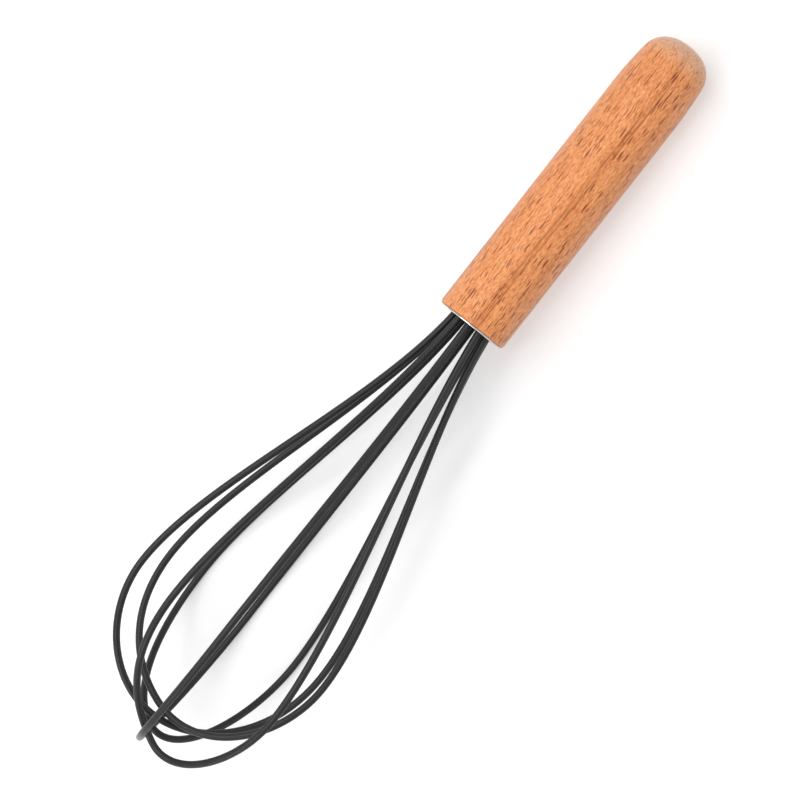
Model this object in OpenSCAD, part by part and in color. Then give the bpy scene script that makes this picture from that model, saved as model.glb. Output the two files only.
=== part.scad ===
// Balloon whisk with a turned beech handle, lying at rest on a flat surface.
// Five bent wires, each a steel wire in a silicone sleeve, cross at the balloon's tip.
// Their ten ends are moulded into a plug, and the plug is held by a steel ferrule in the handle.
//
// Everything is first made in the whisk's own frame, in millimetres. x runs from the
// handle's mouth towards the balloon's tip, and z goes up. y goes to the right for a viewer
// above, towards whom the balloon points. The whisk is then tipped until the butt and the
// lowest wire touch the surface.

/* [Handle] */
// Diameter of the handle's straight part
handle_d = 25; // [23:0.5:32]
// Length of the handle, from mouth to butt
handle_l = 112.5; // [100:0.5:140]
// Length of the taper, from where the straight part stops to the butt's end
taper_l = 23; // [18:1:30]
// Diameter that the taper comes down to at the very end
butt_d = 21.2; // [19:0.2:23]
// Depth of the dome that rounds off the end of the taper
dome_l = 8.5; // [5:0.5:12]
// Fullness of the dome's shoulder, where 2 is an ellipse and more is squarer
dome_fullness = 2.4; // [2:0.1:3]
// Radius of the eased edge at the mouth
mouth_edge_r = 1.2; // [0.4:0.1:2]
// Depth of the blind bore that takes the ferrule
bore_depth = 26; // [25:1:40]

/* [Ferrule and plug] */
// Outer diameter of the ferrule, which is the bore's diameter
ferrule_d = 17.8; // [17.6:0.1:19]
// Thickness of the ferrule's steel
ferrule_wall = 0.5; // [0.3:0.1:0.8]
// Diameter of the ferrule's lip
lip_d = 18.6; // [18.4:0.1:20]
// Height of the lip above the handle's end
lip_h = 0.4; // [0.3:0.1:1.2]
// Depth of the ferrule inside the handle
ferrule_l = 24; // [22:1:25]
// How far the plug's face lies inside the mouth
plug_recess = 2; // [1:0.5:3]
// Diameter of the ring on which the ten wire ends stand
ring_d = 12.8; // [12:0.1:13.2]
// Turn of that ring about the handle's axis, in degrees
ring_turn = -7; // [-9:1:9]

/* [Wire] */
// Outer diameter of a silicone sleeve
sleeve_d = 2.4; // [1.8:0.05:2.5]
// Diameter of the steel wire inside it
wire_d = 1.2; // [0.8:0.1:1.4]
// How deep a sleeve goes into the plug
sleeve_grip = 9; // [5:1:10]
// How deep the bare wire goes on behind the sleeve's end
wire_grip = 8; // [5:1:8]

/* [Upright loop] */
// Widest place of its top leg
upright_a = [122, -1.25, 34]; // [-40:0.25:140]
// Widest place of its bottom leg
upright_b = [122, 1.25, -30]; // [-40:0.25:140]
// Its furthest point
upright_tip = [169, -2, 0]; // [-5:0.25:175]
// Slant and roundness of its closing bend
upright_bend = [0, 0.58]; // [-0.6:0.02:0.6]

/* [Loop from high left to low right] */
// Widest place of its left leg
left_high_a = [122.75, -36, 10.5]; // [-40:0.25:140]
// Widest place of its right leg
left_high_b = [119.5, 32.25, -10.5]; // [-40:0.25:140]
// Its furthest point
left_high_tip = [160.75, 1, 0]; // [-5:0.25:175]
// Slant and roundness of its closing bend
left_high_bend = [0.12, 0.52]; // [-0.6:0.02:0.6]

/* [Loop from low left to high right] */
// Widest place of its left leg
right_high_a = [118.25, -31, -10.5]; // [-40:0.25:140]
// Widest place of its right leg
right_high_b = [119.25, 34, 10.5]; // [-40:0.25:140]
// Its furthest point
right_high_tip = [157, -4, 0]; // [-5:0.25:175]
// Slant and roundness of its closing bend
right_high_bend = [-0.26, 0.54]; // [-0.6:0.02:0.6]

/* [Upper loop] */
// Widest place of its left leg
upper_a = [123, -21, 27]; // [-40:0.25:140]
// Widest place of its right leg
upper_b = [134.5, 27.25, 25]; // [-40:0.25:140]
// Its furthest point
upper_tip = [167.5, 2, 4.75]; // [-5:0.25:175]
// Slant and roundness of its closing bend
upper_bend = [-0.5, 0.38]; // [-0.6:0.02:0.6]

/* [Lower loop] */
// Widest place of its left leg
lower_a = [118, -19.75, -30]; // [-40:0.25:140]
// Widest place of its right leg
lower_b = [124.5, 23.5, -30]; // [-40:0.25:140]
// Its furthest point
lower_tip = [165, -2.25, -5]; // [-5:0.25:175]
// Slant and roundness of its closing bend
lower_bend = [-0.46, 0.38]; // [-0.6:0.02:0.6]

/* [Shape of every leg] */
// Slope at which a leg leaves the plug, outwards
flare = 0.08; // [0:0.01:0.2]
// Slope at which all the legs lean together as they leave it, towards +y
lean = 0.03; // [-0.05:0.01:0.05]
// Reach of the bend at the plug, as a share of the leg's run to its widest place
mouth_reach = 0.32; // [0.2:0.01:0.5]
// Reach of the bend before the widest place, as a share of the same run
belly_reach_in = 0.26; // [0.2:0.01:0.5]
// Reach of the bend after the widest place, as a share of the run to the tip
belly_reach_out = 0.57; // [0.4:0.01:0.75]

/* [Hidden] */

// Colours
beech = "#dd9c68";
steel = "#c9ccd0";
nylon = "#1b1b1c";
silicone = "#3a3b3c";

// Each loop holds its legs' places on the ring, their widest places, its tip and its bend.
// The ring's ten places are counted from the top one towards +y.
ring_places = 10;
upright = [0, 5, upright_a, upright_b, upright_tip, upright_bend];
left_high = [8, 3, left_high_a, left_high_b, left_high_tip, left_high_bend];
right_high = [7, 2, right_high_a, right_high_b, right_high_tip, right_high_bend];
upper = [9, 1, upper_a, upper_b, upper_tip, upper_bend];
lower = [6, 4, lower_a, lower_b, lower_tip, lower_bend];
loops = [upright, left_high, right_high, upper, lower];

// Fineness of the wires: steps along each bend, and sides of a section
belly_steps = 12;
tip_steps = 12;
sleeve_sides = 10;
wire_sides = 6;
// Clearance all round the steel wire in its sleeve, and round a sleeve in the plug
wire_play = 0.02;
// The sleeve's hole is drawn with flat sides, and the wire clears the flats
sleeve_hole_r = (wire_d / 2 + wire_play) / cos(180 / sleeve_sides);

// Fineness of the turned pieces
$fn = 96;
arc_steps = 10;
dome_steps = 16;
// How far a cutting shape runs past the face it opens
over = 1;

// Radii of the turned pieces
handle_r = handle_d / 2;
butt_r = butt_d / 2;
ferrule_r = ferrule_d / 2;
cup_r = ferrule_r - ferrule_wall;
lip_r = lip_d / 2;
sleeve_r = sleeve_d / 2;
wire_r = wire_d / 2;
plug_back = ferrule_l - ferrule_wall;

// Places along the handle's axis
sleeve_end_x = -(plug_recess + sleeve_grip);
wire_end_x = sleeve_end_x - wire_grip;

// Curves

// Point at t on a curve with four control points
function bezier(p, t) =
    pow(1 - t, 3) * p[0] + 3 * pow(1 - t, 2) * t * p[1] + 3 * (1 - t) * t * t * p[2] + t * t * t * p[3];
function unit(v) = v / norm(v);
// The part of v that lies across the whisk's axis
function across(v) = [0, v.y, v.z];

// Where the leg at a place of the ring leaves the plug
function ring_point(place) =
    let (a = place * 360 / ring_places + ring_turn)
    [-plug_recess, ring_d / 2 * sin(a), ring_d / 2 * cos(a)];

// One leg's centre line, from the plug's face to the loop's tip.
// The leg swells to its widest place and closes along bend_dir, which points back from the tip.
function leg_points(start, wide, tip, bend_dir, roundness) =
    let (
        run = wide.x - start.x,
        close = tip.x - wide.x,
        side = norm(across(wide - tip)),
        lead = [1, lean, 0] + flare * unit(across(wide - start)),
        swell = [start, start + mouth_reach * run * lead, wide - [belly_reach_in * run, 0, 0], wide],
        bend = [wide, wide + [belly_reach_out * close, 0, 0], tip + roundness * side * bend_dir, tip]
    )
    concat(
        [for (i = [0 : belly_steps - 1]) bezier(swell, i / belly_steps)],
        [for (i = [0 : tip_steps]) bezier(bend, i / tip_steps)]
    );

function reversed(list) = [for (i = [len(list) - 1 : -1 : 0]) list[i]];
function without_last(list) = [for (i = [0 : len(list) - 2]) list[i]];

// The whole loop's centre line between the two points where it leaves the plug
function loop_points(loop) =
    let (
        a = ring_point(loop[0]),
        b = ring_point(loop[1]),
        spread = unit(across(loop[2] - loop[3])),
        slant = [loop[5][0], 0, 0]
    )
    concat(
        without_last(leg_points(a, loop[2], loop[4], spread + slant, loop[5][1])),
        reversed(leg_points(b, loop[3], loop[4], -spread - slant, loop[5][1]))
    );

// The same line with its two straight ends, which reach back into the plug to end_x
function wire_line(loop, end_x) =
    let (a = ring_point(loop[0]), b = ring_point(loop[1]))
    concat([[end_x, a.y, a.z]], loop_points(loop), [[end_x, b.y, b.z]]);

// Sweep of a round section along a line that bends about one direction

function direction(line, i) =
    unit(line[min(i + 1, len(line) - 1)] - line[max(i - 1, 0)]);

// One ring of points round the line, square to it, with a flat side towards up
function section(line, i, r, sides, up) =
    let (
        along = i == 0 || i == len(line) - 1 ? [i == 0 ? 1 : -1, 0, 0] : direction(line, i),
        n = unit(up - (up * along) * along),
        m = cross(along, n)
    )
    [for (k = [0 : sides - 1])
        let (a = 360 * (k + 0.5) / sides) line[i] + r * (cos(a) * n + sin(a) * m)];

function tube_points(line, r, sides, up) =
    [for (i = [0 : len(line) - 1]) each section(line, i, r, sides, up)];

// Triangles of a tube's wall between its rings, seen from outside
function wall_faces(rings, sides, first) =
    [for (i = [0 : rings - 2], k = [0 : sides - 1])
        let (
            a = first + i * sides + k,
            b = first + i * sides + (k + 1) % sides,
            c = a + sides,
            d = b + sides
        )
        each [[a, b, d], [a, d, c]]];

function turned(faces) = [for (f = faces) reversed(f)];

// The direction that a loop bends about, square to its plane
function loop_normal(loop) = unit(cross([1, 0, 0], loop[2] - loop[3]));

// A closed round bar along a line
module bar(line, r, sides, up) {
    last = (len(line) - 1) * sides;
    polyhedron(
        tube_points(line, r, sides, up),
        concat(
            wall_faces(len(line), sides, 0),
            [[for (k = [sides - 1 : -1 : 0]) k]],
            [[for (k = [0 : sides - 1]) last + k]]
        ),
        convexity = 10
    );
}

// A round tube along a line, open at both ends
module tube(line, outer_r, inner_r, up) {
    sides = sleeve_sides;
    rings = len(line);
    inner = rings * sides;
    last = (rings - 1) * sides;
    polyhedron(
        concat(tube_points(line, outer_r, sides, up), tube_points(line, inner_r, sides, up)),
        concat(
            wall_faces(rings, sides, 0),
            turned(wall_faces(rings, sides, inner)),
            [for (k = [0 : sides - 1]) [k, inner + k, inner + (k + 1) % sides, (k + 1) % sides]],
            [for (k = [0 : sides - 1])
                [last + (k + 1) % sides, inner + last + (k + 1) % sides, inner + last + k, last + k]]
        ),
        convexity = 10
    );
}

// The butt

// Radius of the taper at a distance from the butt's end
function taper_r(d) = butt_r + (handle_r - butt_r) * sin(90 * d / taper_l);

// The butt's outline, from the straight part to the end on the axis.
// Each point holds its distance from the axis and its place along it.
butt_outline = concat(
    [for (i = [0 : arc_steps - 1])
        let (d = taper_l - (taper_l - dome_l) * i / arc_steps) [taper_r(d), d - handle_l]],
    [for (i = [0 : dome_steps])
        let (
            a = 90 * i / dome_steps,
            d = dome_l * (1 - pow(sin(a), 2 / dome_fullness))
        )
        [taper_r(d) * pow(cos(a), 2 / dome_fullness), d - handle_l]]
);

// The pose at rest

all_points = [for (loop = loops) each loop_points(loop)];

// Depth of the lowest wire, and of the butt, under the mouth's centre at a tip angle
function wire_depth(a) = sleeve_r - min([for (p = all_points) p.x * sin(a) + p.z * cos(a)]);
function butt_depth(a) = max([for (p = butt_outline) p[0] * cos(a) - p[1] * sin(a)]);

// The angle at which both are equally deep, found by halving
function rest_angle(low, high, tries) =
    let (mid = (low + high) / 2)
    tries == 0 ? mid
    : butt_depth(mid) < wire_depth(mid) ? rest_angle(mid, high, tries - 1)
    : rest_angle(low, mid, tries - 1);

steepest = 15;
halvings = 24;
tip_angle = rest_angle(0, steepest, halvings);
rest_height = butt_depth(tip_angle);

// The origin lies on the surface, under the middle of the whisk's outline
function lying_x(p) = p.x * cos(tip_angle) - p.z * sin(tip_angle);
front_x = max([for (p = all_points) lying_x(p)]) + sleeve_r;
back_x = min([for (p = butt_outline) p[1] * cos(tip_angle) - p[0] * sin(tip_angle)]);
middle_x = (front_x + back_x) / 2;
middle_y = (max([for (p = all_points) p.y]) + min([for (p = all_points) p.y])) / 2;

module lay_down() {
    translate([-middle_x, -middle_y, rest_height])
        rotate([0, -tip_angle, 0])
            children();
}

// Turns a profile, drawn with its distance from the axis as x and its place as y, about the x axis
module turn_on_axis() {
    rotate([0, 90, 0])
        rotate_extrude()
            children();
}

// Sub-parts

module handle() {
    mouth_edge = [for (i = [0 : arc_steps])
        let (a = 90 * i / arc_steps)
        [handle_r, -mouth_edge_r] + mouth_edge_r * [sin(a) - 1, cos(a)]];
    color(beech) lay_down() turn_on_axis() difference() {
        polygon(concat([[0, 0]], mouth_edge, butt_outline));
        translate([0, -bore_depth]) square([ferrule_r, bore_depth + over]);
    }
}

// A drawn steel cup with a lip that rests on the handle's end
module ferrule() {
    color(steel) lay_down() turn_on_axis() difference() {
        union() {
            translate([0, -ferrule_l]) square([ferrule_r, ferrule_l]);
            square([lip_r, lip_h]);
        }
        translate([0, -plug_back]) square([cup_r, plug_back + lip_h + over]);
    }
}

// A moulded plug with a stepped hole for each of the ten wire ends
module wire_plug() {
    color(nylon) lay_down() difference() {
        translate([-plug_back, 0, 0]) rotate([0, 90, 0]) cylinder(r = cup_r, h = plug_back - plug_recess);
        for (place = [0 : ring_places - 1]) {
            p = ring_point(place);
            translate([sleeve_end_x, p.y, p.z])
                rotate([0, 90, 0])
                    cylinder(r = sleeve_r + wire_play, h = sleeve_grip + over);
            translate([wire_end_x, p.y, p.z])
                rotate([0, 90, 0])
                    cylinder(r = wire_r + wire_play, h = wire_grip + over);
        }
    }
}

// The bare steel wire of a loop, from plug to tip and back
module steel_wire(loop) {
    color(steel) lay_down()
        bar(wire_line(loop, wire_end_x), wire_r, wire_sides, loop_normal(loop));
}

// The silicone sleeve over that wire
module sleeve(loop) {
    color(silicone) lay_down()
        tube(wire_line(loop, sleeve_end_x), sleeve_r, sleeve_hole_r, loop_normal(loop));
}

handle();
ferrule();
wire_plug();
steel_wire(upright);  // upright_wire
steel_wire(left_high);  // left_high_wire
steel_wire(right_high);  // right_high_wire
steel_wire(upper);  // upper_wire
steel_wire(lower);  // lower_wire
sleeve(upright);  // upright_sleeve
sleeve(left_high);  // left_high_sleeve
sleeve(right_high);  // right_high_sleeve
sleeve(upper);  // upper_sleeve
sleeve(lower);  // lower_sleeve
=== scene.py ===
import math

import bmesh
import bpy
from mathutils import Euler, Matrix, Vector


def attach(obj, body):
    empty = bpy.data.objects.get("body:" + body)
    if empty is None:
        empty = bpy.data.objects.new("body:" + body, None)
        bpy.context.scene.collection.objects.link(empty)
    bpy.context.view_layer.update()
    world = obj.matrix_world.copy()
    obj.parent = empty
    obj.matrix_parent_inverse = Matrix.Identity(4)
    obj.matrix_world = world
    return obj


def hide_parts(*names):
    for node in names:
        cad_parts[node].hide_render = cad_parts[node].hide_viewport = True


# A balloon whisk lying on a pale floor, seen from almost straight above.
# The solids give every size and place. The handle, the ferrule and the five silicone
# sleeves are made again here with fine round forms, and the pieces inside keep their solids.

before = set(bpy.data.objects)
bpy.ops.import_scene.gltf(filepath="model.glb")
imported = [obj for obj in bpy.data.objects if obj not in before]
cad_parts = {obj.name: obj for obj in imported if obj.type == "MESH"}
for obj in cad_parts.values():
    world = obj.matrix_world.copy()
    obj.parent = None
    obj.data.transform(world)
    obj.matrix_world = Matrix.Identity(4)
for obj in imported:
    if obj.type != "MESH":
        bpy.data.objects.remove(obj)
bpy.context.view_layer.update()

MM = 0.001

# The whisk's own frame, as in the solids: x from the handle's mouth to the balloon's tip,
# z up, in millimetres. At rest it is tipped until the butt and the lowest wire touch the floor.
TIP_ANGLE = math.radians(5.104)
LAY_DOWN = (
    Matrix.Translation((-0.028685, 0.001, 0.020881))
    @ Matrix.Rotation(-TIP_ANGLE, 4, "Y")
    @ Matrix.Scale(MM, 4)
)

# Handle and ferrule, in millimetres
HANDLE_R = 12.5
HANDLE_L = 112.5
TAPER_L = 23
BUTT_R = 10.6
DOME_L = 8.5
DOME_FULLNESS = 2.4
MOUTH_EDGE_R = 1.2
BORE_DEPTH = 26
FERRULE_R = 8.9
FERRULE_WALL = 0.5
FERRULE_L = 24
LIP_R = 9.3
LIP_H = 0.4
LIP_EDGE_R = 0.18

# Wires, in millimetres. Their ends stand in ten places, RING_STEP degrees apart.
PLUG_RECESS = 2
RING_R = 6.4
RING_TURN = -7
RING_STEP = 36
SLEEVE_R = 1.2
SLEEVE_GRIP = 9

# Each loop: its two legs' places on the ring, their widest places, the loop's tip, and the
# slant and roundness of its closing bend
LOOPS = {
    "upright": {
        "ring": (0, 5),
        "widest": ((122, -1.25, 34), (122, 1.25, -30)),
        "tip": (169, -2, 0),
        "slant": 0,
        "roundness": 0.58,
    },
    "left_high": {
        "ring": (8, 3),
        "widest": ((122.75, -36, 10.5), (119.5, 32.25, -10.5)),
        "tip": (160.75, 1, 0),
        "slant": 0.12,
        "roundness": 0.52,
    },
    "right_high": {
        "ring": (7, 2),
        "widest": ((118.25, -31, -10.5), (119.25, 34, 10.5)),
        "tip": (157, -4, 0),
        "slant": -0.26,
        "roundness": 0.54,
    },
    "upper": {
        "ring": (9, 1),
        "widest": ((123, -21, 27), (134.5, 27.25, 25)),
        "tip": (167.5, 2, 4.75),
        "slant": -0.5,
        "roundness": 0.38,
    },
    "lower": {
        "ring": (6, 4),
        "widest": ((118, -19.75, -30), (124.5, 23.5, -30)),
        "tip": (165, -2.25, -5),
        "slant": -0.46,
        "roundness": 0.38,
    },
}

# Shape of every leg: how it leaves the plug, and how far each curve holds its direction, as
# a share of the leg's run to its widest place or from there to the tip
FLARE = 0.08
LEAN = 0.03
MOUTH_REACH = 0.32
BELLY_REACH_IN = 0.26
BELLY_REACH_OUT = 0.57


# Materials

# The Mix node's sockets for colours. Its other sockets have the same names.
MIX_SHARE, MIX_FIRST, MIX_SECOND = 0, 6, 7

# Nearly all the values of a noise pattern lie in this span
NOISE_SPAN = {"From Min": 0.3, "From Max": 0.7}


def linear(colour):
    """A hex colour as written for a screen, turned to the linear values that the shaders use."""
    steps = [int(colour[i : i + 2], 16) / 255 for i in (1, 3, 5)]
    return [s / 12.92 if s <= 0.04045 else ((s + 0.055) / 1.055) ** 2.4 for s in steps] + [1]


def add(tree, kind, inputs=(), **settings):
    """Adds a node with its settings.

    An input takes a value, an output, or a node, whose first output in use then feeds it.
    """
    made = tree.nodes.new(kind)
    for name, value in settings.items():
        setattr(made, name, value)
    for key, value in dict(inputs).items():
        if isinstance(value, bpy.types.Node):
            value = next(output for output in value.outputs if output.enabled)
        if isinstance(value, bpy.types.NodeSocket):
            tree.links.new(value, made.inputs[key])
        else:
            made.inputs[key].default_value = value
    return made


def fill_ramp(node, steps):
    """Gives a colour ramp its steps, as {position: colour}, in place of its own two."""
    ramp = node.color_ramp.elements
    ramp.remove(ramp[1])
    for position, colour in steps.items():
        ramp.new(position).color = colour
    ramp.remove(ramp[0])


def new_material(name):
    """An empty material, as (material, node tree)."""
    material = bpy.data.materials.new(name)
    material.use_nodes = True
    material.node_tree.nodes.clear()
    return material, material.node_tree


def surface(tree, inputs):
    """Ends a material with its surface shader."""
    shader = add(tree, "ShaderNodeBsdfPrincipled", inputs)
    add(tree, "ShaderNodeOutputMaterial", {"Surface": shader})


def whisk_place(tree):
    """The point in the whisk's own frame, in millimetres."""
    return add(
        tree,
        "ShaderNodeMapping",
        {
            "Vector": add(tree, "ShaderNodeTexCoord").outputs["Object"],
            "Location": LAY_DOWN.inverted().translation,
            "Rotation": (0, TIP_ANGLE, 0),
            "Scale": (1 / MM, 1 / MM, 1 / MM),
        },
    )


def oiled_beech():
    """Beech, turned, sanded and oiled: a warm orange tan with a dull shine.

    The year rings are long soft bands, and the wood's rays are short dark flecks that run
    with the grain. A ray is a thin blade that points out from the pith, so it shows as a
    slim fleck on the top of the handle and as a broader one on its right side.
    """
    material, tree = new_material("oiled_beech_turned")
    place = whisk_place(tree)

    # x runs with the grain, z towards the pith, and y along the year rings. The grain
    # lies a little askew in the handle.
    turn = [math.radians(a) for a in (-36, 0.9, -1.5)]
    grain = add(tree, "ShaderNodeMapping", {"Vector": place, "Rotation": turn})

    def fibres(length, width, depth, detail):
        """An uneven pattern of streaks, their size in millimetres."""
        size = (1 / length, 1 / width, 1 / depth)
        streaks = add(tree, "ShaderNodeVectorMath", {0: grain, 1: size}, operation="MULTIPLY")
        return add(tree, "ShaderNodeTexNoise", {"Vector": streaks, "Scale": 1, "Detail": detail})

    # The year rings wander a little along the handle
    ring_gap = 6.8
    pith_depth = 41.3
    wander = 1.5
    drift = fibres(90, 16, 16, 2).outputs["Color"]
    drifted = add(
        tree,
        "ShaderNodeVectorMath",
        {0: drift, 1: (0, wander, wander), 2: grain},
        operation="MULTIPLY_ADD",
    )
    from_pith = add(
        tree,
        "ShaderNodeVectorMath",
        {0: drifted, 1: (0, 1, 1), 2: (0, -wander / 2, -pith_depth - wander / 2)},
        operation="MULTIPLY_ADD",
    )
    pith_distance = add(tree, "ShaderNodeVectorMath", {0: from_pith}, operation="LENGTH")
    rings = add(
        tree,
        "ShaderNodeTexWave",
        {"Vector": from_pith, "Scale": math.pi / (10 * ring_gap), "Distortion": 0},
        wave_type="RINGS",
        rings_direction="X",
        wave_profile="SAW",
    ).outputs["Fac"]

    # Tone: broad streaks of 1.4 mm, thin ones of 0.45 mm, and pores. A real pore is under
    # 0.1 mm wide, too fine to show, so the pores are drawn 0.3 mm wide.
    pores = fibres(1.4, 0.3, 0.3, 3)
    tone = 0
    for streaks, share in (
        (fibres(80, 1.4, 4, 1), 0.12),
        (fibres(11, 0.45, 0.7, 2), 0.2),
        (pores, 0.66),
    ):
        part = add(
            tree,
            "ShaderNodeMapRange",
            {"Value": streaks, **NOISE_SPAN, "To Min": -share / 2, "To Max": share / 2},
        )
        tone = add(tree, "ShaderNodeMath", {0: part, 1: tone}, operation="ADD")
    light_to_dark = add(
        tree, "ShaderNodeMapRange", {"Value": tone, "From Min": -0.5, "From Max": 0.5}
    )
    wood = add(tree, "ShaderNodeValToRGB", {0: light_to_dark})
    fill_ramp(wood, {0.2: linear("#c96e34"), 0.5: linear("#ee985b"), 0.8: linear("#fcb073")})

    # Each ring ends in a darker band with a broken dark line along both its sides. The
    # outer rings are the fainter ones.
    band_shares = {0.66: 0, 0.74: 0.22, 0.78: 0.8, 0.82: 0.22, 0.9: 0.22, 0.95: 0.85, 1: 0.1}
    band = add(tree, "ShaderNodeValToRGB", {0: rings})
    fill_ramp(band, {at: (share, share, share, 1) for at, share in band_shares.items()})
    broken = add(
        tree,
        "ShaderNodeMapRange",
        {
            "Value": fibres(16, 0.6, 1, 1),
            "From Min": 0.35,
            "From Max": 0.65,
            "To Min": 0.5,
            "To Max": 1.5,
        },
    )
    fainter = add(
        tree,
        "ShaderNodeMapRange",
        {"Value": pith_distance, "From Min": 34.5, "From Max": 37, "To Min": 1, "To Max": 0.3},
    )
    for factor in (broken, fainter):
        band = add(tree, "ShaderNodeMath", {0: band, 1: factor}, operation="MULTIPLY")
    colour = add(
        tree,
        "ShaderNodeMix",
        {MIX_SHARE: band, MIX_FIRST: wood, MIX_SECOND: linear("#b0602c")},
        data_type="RGBA",
    )

    # End grain on the sanded dome: its pores show as speckle, and it is painted pale there, a
    # painted highlight where light falls on the butt's end.
    x = add(tree, "ShaderNodeSeparateXYZ", {0: place}).outputs["X"]
    palest = 0.75
    dome = add(
        tree,
        "ShaderNodeMapRange",
        {
            "Value": x,
            "From Min": 1.3 * DOME_L - HANDLE_L,
            "From Max": 0.2 * DOME_L - HANDLE_L,
            "To Max": palest,
        },
        interpolation_type="SMOOTHSTEP",
    )
    open_pores = add(tree, "ShaderNodeMapRange", {"Value": pores, **NOISE_SPAN})
    end_grain_and_highlight = add(
        tree,
        "ShaderNodeMix",
        {MIX_SHARE: open_pores, MIX_FIRST: linear("#dba27a"), MIX_SECOND: linear("#ffd9b8")},
        data_type="RGBA",
    )
    colour = add(
        tree,
        "ShaderNodeMix",
        {MIX_SHARE: dome, MIX_FIRST: colour, MIX_SECOND: end_grain_and_highlight},
        data_type="RGBA",
    )

    # Ray flecks: dark short ones, long ones and faint small ones. A cell of the pattern, so many
    # millimetres long, wide and deep, holds one fleck that is pointed at both ends. The cell's own
    # random number says how large the fleck is, up to widest as a share of the cell, and how dark,
    # up to darkest. Under the dome's painted highlight the flecks are fainter.
    fleck_edge = 0.04
    shown = add(
        tree,
        "ShaderNodeMapRange",
        {"Value": dome, "From Max": palest, "To Min": 1, "To Max": 0.4},
    )
    marks = 0
    for length, width, depth, widest, darkest in (
        (6.5, 0.58, 1, 0.34, 1),
        (40, 1.1, 2, 0.2, 0.9),
        (4.5, 0.5, 0.9, 0.26, 0.5),
    ):
        size = (1 / length, 1 / width, 1 / depth)
        cells = add(tree, "ShaderNodeVectorMath", {0: grain, 1: size}, operation="MULTIPLY")
        cell = add(
            tree, "ShaderNodeTexVoronoi", {"Vector": cells, "Scale": 1, "Randomness": 0.9}
        )
        lot = add(tree, "ShaderNodeTexWhiteNoise", {0: cell.outputs["Color"]})
        reach = add(
            tree, "ShaderNodeMapRange", {"Value": lot, "To Min": widest / 3, "To Max": widest}
        )
        fleck = add(
            tree, "ShaderNodeMath", {0: reach, 1: cell.outputs["Distance"]}, operation="SUBTRACT"
        )
        darkness = add(
            tree,
            "ShaderNodeMapRange",
            {"Value": lot, "To Min": darkest / 1.5, "To Max": darkest},
        )
        strength = add(tree, "ShaderNodeMath", {0: darkness, 1: shown}, operation="MULTIPLY")
        mark = add(
            tree, "ShaderNodeMapRange", {"Value": fleck, "From Max": fleck_edge, "To Max": strength}
        )
        colour = add(
            tree,
            "ShaderNodeMix",
            {MIX_SHARE: mark, MIX_FIRST: colour, MIX_SECOND: linear("#802c04")},
            data_type="RGBA",
        )
        marks = add(tree, "ShaderNodeMath", {0: marks, 1: mark}, operation="MAXIMUM")

    # Painted shade: a dark band along the mouth's cut edge, where the wood meets the steel lip
    mouth_edge_shade = add(
        tree,
        "ShaderNodeMapRange",
        {"Value": x, "From Min": -0.5, "From Max": -0.15, "To Max": 0.7},
    )
    colour = add(
        tree,
        "ShaderNodeMix",
        {MIX_SHARE: mouth_edge_shade, MIX_FIRST: colour, MIX_SECOND: linear("#6b3a1e")},
        data_type="RGBA",
    )

    # The flecks and pores lie a few hundredths of a millimetre deep
    height = add(
        tree, "ShaderNodeMath", {0: marks, 1: -0.3, 2: pores}, operation="MULTIPLY_ADD"
    )
    relief = add(
        tree, "ShaderNodeBump", {"Height": height, "Strength": 0.6, "Distance": 0.08 * MM}
    )
    dull = add(
        tree, "ShaderNodeMapRange", {"Value": pores, **NOISE_SPAN, "To Min": 0.58, "To Max": 0.44}
    )
    # The sheen is the fine fuzz that sanding leaves. It pales the wood where it is seen edge on.
    finish = {
        "Base Color": colour,
        "Roughness": dull,
        "IOR": 1.42,
        "Normal": relief,
        "Sheen Weight": 0.25,
        "Sheen Roughness": 0.5,
    }
    surface(tree, finish)
    return material


def satin_silicone(name, highlight_share=0):
    """Silicone rubber, extruded as a thin sleeve: charcoal with a soft satin sheen.

    Handling leaves a faint uneven bloom. A painted highlight makes the outermost loop's bend pale
    grey, by the share that the second argument gives.
    """
    material, tree = new_material(name)
    place = whisk_place(tree)
    bloom = add(tree, "ShaderNodeTexNoise", {"Vector": place, "Scale": 0.35, "Detail": 4})
    grit = add(tree, "ShaderNodeTexNoise", {"Vector": place, "Scale": 3.5, "Detail": 2})
    tone = add(
        tree, "ShaderNodeMapRange", {"Value": bloom, "From Min": 0.35, "From Max": 0.65}
    )
    colour = add(
        tree,
        "ShaderNodeMix",
        {MIX_SHARE: tone, MIX_FIRST: linear("#121213"), MIX_SECOND: linear("#18191a")},
        data_type="RGBA",
    )
    # Painted highlight: the bend's last few millimetres are painted pale grey, standing in for the
    # light that the bend catches
    if highlight_share:
        x = add(tree, "ShaderNodeSeparateXYZ", {0: place}).outputs["X"]
        painted_highlight = add(
            tree,
            "ShaderNodeMapRange",
            {"Value": x, "From Min": 163.5, "From Max": 169.8, "To Max": highlight_share},
            interpolation_type="SMOOTHSTEP",
        )
        colour = add(
            tree,
            "ShaderNodeMix",
            {MIX_SHARE: painted_highlight, MIX_FIRST: colour, MIX_SECOND: linear("#bdbdb9")},
            data_type="RGBA",
        )
    dull = add(
        tree, "ShaderNodeMapRange", {"Value": bloom, **NOISE_SPAN, "To Min": 0.34, "To Max": 0.5}
    )
    relief = add(
        tree, "ShaderNodeBump", {"Height": grit, "Strength": 0.25, "Distance": 0.03 * MM}
    )
    surface(tree, {"Base Color": colour, "Roughness": dull, "IOR": 1.4, "Normal": relief})
    return material


def drawn_steel():
    """Stainless steel, drawn and polished: bright, with fine lines that blur what it mirrors."""
    material, tree = new_material("stainless_steel_drawn")
    lines = add(
        tree,
        "ShaderNodeVectorMath",
        {0: whisk_place(tree), 1: (6, 0.8, 0.8)},
        operation="MULTIPLY",
    )
    scratches = add(tree, "ShaderNodeTexNoise", {"Vector": lines, "Scale": 1, "Detail": 4})
    dull = add(
        tree,
        "ShaderNodeMapRange",
        {"Value": scratches, **NOISE_SPAN, "To Min": 0.16, "To Max": 0.3},
    )
    surface(tree, {"Base Color": linear("#cfd1d3"), "Roughness": dull, "Metallic": 1})
    return material


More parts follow.
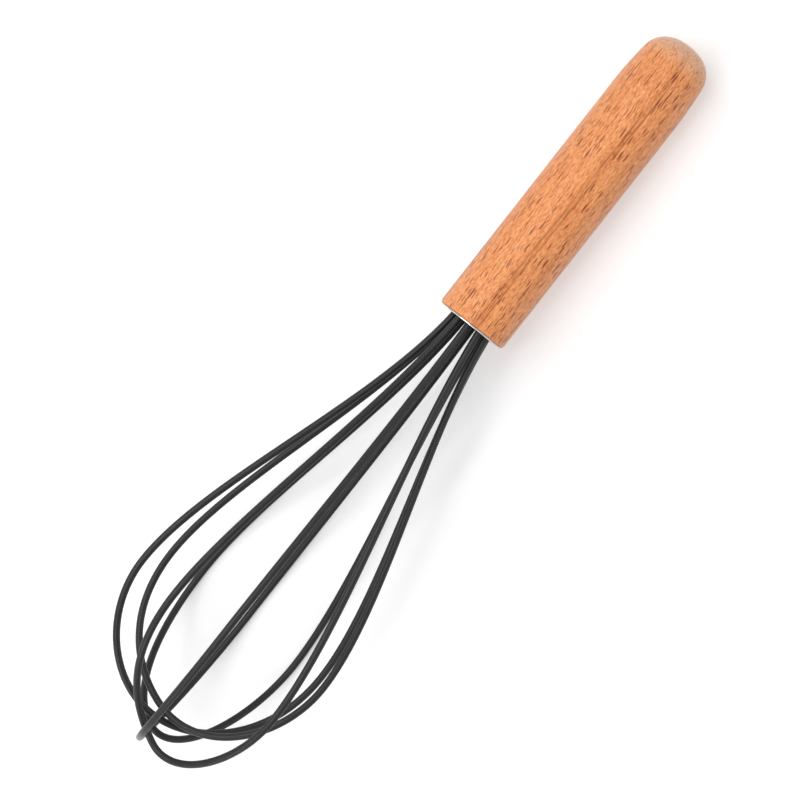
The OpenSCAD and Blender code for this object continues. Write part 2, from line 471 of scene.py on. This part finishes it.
def moulded_nylon():
    """Nylon, moulded with a matt grain: near black, and dull."""
    material, tree = new_material("nylon_moulded")
    grain = add(
        tree, "ShaderNodeTexNoise", {"Vector": whisk_place(tree), "Scale": 4, "Detail": 3}
    )
    colour = add(
        tree,
        "ShaderNodeMix",
        {MIX_SHARE: grain, MIX_FIRST: linear("#151516"), MIX_SECOND: linear("#1f1f20")},
        data_type="RGBA",
    )
    relief = add(
        tree, "ShaderNodeBump", {"Height": grain, "Strength": 0.4, "Distance": 0.05 * MM}
    )
    surface(tree, {"Base Color": colour, "Roughness": 0.6, "IOR": 1.53, "Normal": relief})
    return material


# Pieces


def finish_piece(name, mesh, material, node):
    """Links a new piece, rides it on the whisk, and lets it stand for its solid."""
    piece = bpy.data.objects.new(name, mesh)
    bpy.context.scene.collection.objects.link(piece)
    mesh.materials.clear()
    mesh.materials.append(material)
    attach(piece, "root")
    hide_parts(node)
    return piece


def turned(name, outline, sides=192, sharpest=40):
    """A mesh turned about the whisk's axis, with edges over sharpest degrees left crisp.

    The outline holds (x, radius) pairs. It is a closed ring, unless it starts and ends on
    the axis.
    """
    shape = bmesh.new()
    rings = []
    for x, r in outline:
        if r == 0:
            rings.append([shape.verts.new((x, 0, 0))] * sides)
            continue
        turns = [2 * math.pi * k / sides for k in range(sides)]
        rings.append([shape.verts.new((x, r * math.sin(a), r * math.cos(a))) for a in turns])
    on_axis = outline[0][1] == 0
    pairs = list(zip(rings, rings[1:])) + ([] if on_axis else [(rings[-1], rings[0])])
    for first, second in pairs:
        for k in range(sides):
            n = (k + 1) % sides
            corners = dict.fromkeys((first[k], first[n], second[n], second[k]))
            shape.faces.new(corners).smooth = True
    bmesh.ops.recalc_face_normals(shape, faces=shape.faces)
    shape.transform(LAY_DOWN)
    mesh = bpy.data.meshes.new(name)
    shape.to_mesh(mesh)
    shape.free()
    mesh.set_sharp_from_angle(angle=math.radians(sharpest))
    return mesh


def arc(x, r, radius, start, end, steps=12):
    """Outline points on an arc about (x, r). At 0 degrees a point lies outward, at 90 forward."""
    turns = [math.radians(start + (end - start) * i / steps) for i in range(steps + 1)]
    return [(x + radius * math.sin(a), r + radius * math.cos(a)) for a in turns]


def butt_outline(taper_steps=24, dome_steps=32):
    """The handle's outline from the straight part to the butt's end, as in the solid."""

    def taper_r(d):
        return BUTT_R + (HANDLE_R - BUTT_R) * math.sin(math.pi / 2 * d / TAPER_L)

    outline = []
    for i in range(taper_steps):
        d = TAPER_L - (TAPER_L - DOME_L) * i / taper_steps
        outline.append((d - HANDLE_L, taper_r(d)))
    for i in range(dome_steps):
        a = math.pi / 2 * i / dome_steps
        d = DOME_L * (1 - math.sin(a) ** (2 / DOME_FULLNESS))
        outline.append((d - HANDLE_L, taper_r(d) * math.cos(a) ** (2 / DOME_FULLNESS)))
    return outline + [(-HANDLE_L, 0)]


def make_handle(straight_steps=60):
    """The beech handle, from the bore's floor round the mouth's eased edge to the butt."""
    outline = [(-BORE_DEPTH, 0), (-BORE_DEPTH, FERRULE_R), (0, FERRULE_R)]
    outline += arc(-MOUTH_EDGE_R, HANDLE_R - MOUTH_EDGE_R, MOUTH_EDGE_R, 90, 0)
    straight_l = HANDLE_L - TAPER_L - MOUTH_EDGE_R
    for i in range(1, straight_steps):
        outline.append((-MOUTH_EDGE_R - straight_l * i / straight_steps, HANDLE_R))
    outline += butt_outline()
    mesh = turned("turned_handle", outline)
    finish_piece("turned_handle", mesh, oiled_beech(), "handle")


def make_ferrule(steel):
    """The steel cup that lines the handle's bore, from its floor round the outside and the lip."""
    cup_r = FERRULE_R - FERRULE_WALL
    lip_x = LIP_H - LIP_EDGE_R
    outline = [(-FERRULE_L, 0), (-FERRULE_L, FERRULE_R), (0, FERRULE_R), (0, LIP_R)]
    outline += arc(lip_x, LIP_R - LIP_EDGE_R, LIP_EDGE_R, 0, 90, steps=6)
    outline += arc(lip_x, cup_r + LIP_EDGE_R, LIP_EDGE_R, 90, 180, steps=6)
    outline += [(FERRULE_WALL - FERRULE_L, cup_r), (FERRULE_WALL - FERRULE_L, 0)]
    finish_piece("drawn_ferrule", turned("drawn_ferrule", outline), steel, "ferrule")


def ring_point(place):
    """The point where a leg leaves the plug, by its place on the ring."""
    a = math.radians(place * RING_STEP + RING_TURN)
    return Vector((-PLUG_RECESS, RING_R * math.sin(a), RING_R * math.cos(a)))


def across(v):
    """The part of a direction that lies across the whisk's axis."""
    return Vector((0, v.y, v.z))


def leg_knots(start, wide, tip):
    """The leg's knots as (handle before, point, handle after), from inside the plug outwards."""
    grip = Vector((SLEEVE_GRIP / 3, 0, 0))
    lead = Vector((1, LEAN, 0)) + FLARE * across(wide - start).normalized()
    run = wide.x - start.x
    close = tip.x - wide.x
    inside = start - 3 * grip
    along = Vector((1, 0, 0))
    return [
        (inside - grip, inside, inside + grip),
        (start - grip, start, start + MOUTH_REACH * run * lead),
        (wide - BELLY_REACH_IN * run * along, wide, wide + BELLY_REACH_OUT * close * along),
    ]


def make_sleeve(loop, silicone):
    """A silicone sleeve along one loop, as one smooth curve with a round section."""
    shape = LOOPS[loop]
    tip = Vector(shape["tip"])
    wide_a, wide_b = map(Vector, shape["widest"])
    place_a, place_b = shape["ring"]
    bend = across(wide_a - wide_b).normalized() + Vector((shape["slant"], 0, 0))
    reach_a = shape["roundness"] * across(wide_a - tip).length
    reach_b = shape["roundness"] * across(wide_b - tip).length
    knots = leg_knots(ring_point(place_a), wide_a, tip)
    knots.append((tip + reach_a * bend, tip, tip - reach_b * bend))
    knots += [knot[::-1] for knot in reversed(leg_knots(ring_point(place_b), wide_b, tip))]

    line = bpy.data.curves.new(loop, "CURVE")
    line.dimensions = "3D"
    line.resolution_u = 48
    line.bevel_depth = SLEEVE_R
    line.bevel_resolution = 6
    line.use_fill_caps = True
    spline = line.splines.new("BEZIER")
    spline.bezier_points.add(len(knots) - 1)
    for point, (before, at, after) in zip(spline.bezier_points, knots):
        point.handle_left_type = point.handle_right_type = "FREE"
        point.handle_left, point.co, point.handle_right = before, at, after
    swept = bpy.data.objects.new(loop, line)
    mesh = bpy.data.meshes.new_from_object(swept)
    mesh.transform(LAY_DOWN)
    mesh.name = f"{loop}_silicone"
    bpy.data.objects.remove(swept)
    finish_piece(f"{loop}_silicone", mesh, silicone, f"{loop}_sleeve")


steel = drawn_steel()
silicone = satin_silicone("satin_silicone_extruded")
# The upright loop's sleeve carries a painted highlight on its bend
painted_highlight_silicone = satin_silicone("satin_silicone_painted_highlight", highlight_share=0.5)
make_handle()
make_ferrule(steel)
for loop in LOOPS:
    make_sleeve(loop, painted_highlight_silicone if loop == "upright" else silicone)

# The plug and the bare wires keep their solids
inner = {"wire_plug": moulded_nylon()}
inner.update({f"{loop}_wire": steel for loop in LOOPS})
for node, material in inner.items():
    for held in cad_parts[node].material_slots:
        held.material = material


# Floor, light and camera


def background_seen(tree):
    """1 for a ray that shows the background: the camera's, a mirrored one or one through glass."""
    path = add(tree, "ShaderNodeLightPath").outputs
    mirrored = add(
        tree,
        "ShaderNodeMath",
        {0: path["Is Glossy Ray"], 1: path["Is Transmission Ray"]},
        operation="MAXIMUM",
    )
    return add(
        tree, "ShaderNodeMath", {0: path["Is Camera Ray"], 1: mirrored}, operation="MAXIMUM"
    )


def make_floor(half=2):
    """A plain matt white floor. It keeps the whisk's shadow, and elsewhere it meets the white.

    Where it is seen it glows a little, and further out as brightly as the background.
    """
    mesh = bpy.data.meshes.new("studio_floor")
    corners = [(-half, -half, 0), (half, -half, 0), (half, half, 0), (-half, half, 0)]
    mesh.from_pydata(corners, [], [(0, 1, 2, 3)])
    floor = bpy.data.objects.new("studio_floor", mesh)
    bpy.context.scene.collection.objects.link(floor)
    material, tree = new_material("matt_white_paper")
    paper = add(tree, "ShaderNodeBsdfDiffuse", {"Color": linear("#f3f3f4")})
    place = add(tree, "ShaderNodeTexCoord").outputs["Object"]
    away = add(tree, "ShaderNodeVectorMath", {0: place}, operation="LENGTH")
    share = add(
        tree,
        "ShaderNodeMapRange",
        {"Value": away, "From Min": 0.25, "From Max": 0.6, "To Min": 0.3, "To Max": 1},
    )
    lift = add(tree, "ShaderNodeMath", {0: background_seen(tree), 1: share}, operation="MULTIPLY")
    glow = add(tree, "ShaderNodeEmission", {"Strength": lift})
    both = add(tree, "ShaderNodeAddShader", {0: paper, 1: glow})
    add(tree, "ShaderNodeOutputMaterial", {"Surface": both})
    mesh.materials.append(material)


def make_world(ambient=0.32):
    """A white background, which lights the whisk softly at the share that ambient gives."""
    world = bpy.data.worlds.new("white_studio")
    world.use_nodes = True
    tree = world.node_tree
    tree.nodes.clear()
    strength = add(
        tree,
        "ShaderNodeMapRange",
        {"Value": background_seen(tree), "To Min": ambient, "To Max": 1},
    )
    light = add(tree, "ShaderNodeBackground", {"Color": (1, 1, 1, 1), "Strength": strength})
    add(tree, "ShaderNodeOutputWorld", {"Surface": light})
    bpy.context.scene.world = world


def make_softbox(name, size, power, side, height, distance=0.9):
    """A square soft light that faces the whisk.

    Side is its direction in degrees: 0 is the balloon's, -90 the left and 130 behind the
    butt on the right. Height is its angle above the floor.
    """
    light = bpy.data.lights.new(name, "AREA")
    light.size = size
    light.energy = power
    lamp = bpy.data.objects.new(name, light)
    bpy.context.scene.collection.objects.link(lamp)
    turn = Euler((0, math.radians(90 - height), math.radians(side)), "XYZ")
    lamp.location = turn.to_matrix() @ Vector((0, 0, distance))
    lamp.rotation_euler = turn


def make_camera():
    """The photograph's view: 0.8 m above the handle's mouth, looking almost straight down."""
    lens = bpy.data.cameras.new("camera")
    lens.sensor_width = 36
    lens.lens = 112.6
    camera = bpy.data.objects.new("camera", lens)
    bpy.context.scene.collection.objects.link(camera)
    camera.location = (-0.085947, 0.001, 0.818951)
    turn = (math.radians(a) for a in (-4.9467, 4.1501, 127.8982))
    camera.rotation_euler = Euler(turn, "XYZ")
    bpy.context.scene.camera = camera


make_floor()
make_world()
make_softbox("main_softbox", size=0.8, power=5.5, side=-90, height=60)
make_softbox("tip_softbox", size=0.4, power=2.0, side=0, height=40)
make_softbox("low_softbox", size=0.8, power=1.4, side=130, height=20)
make_camera()
bpy.context.scene.view_settings.view_transform = "Standard"
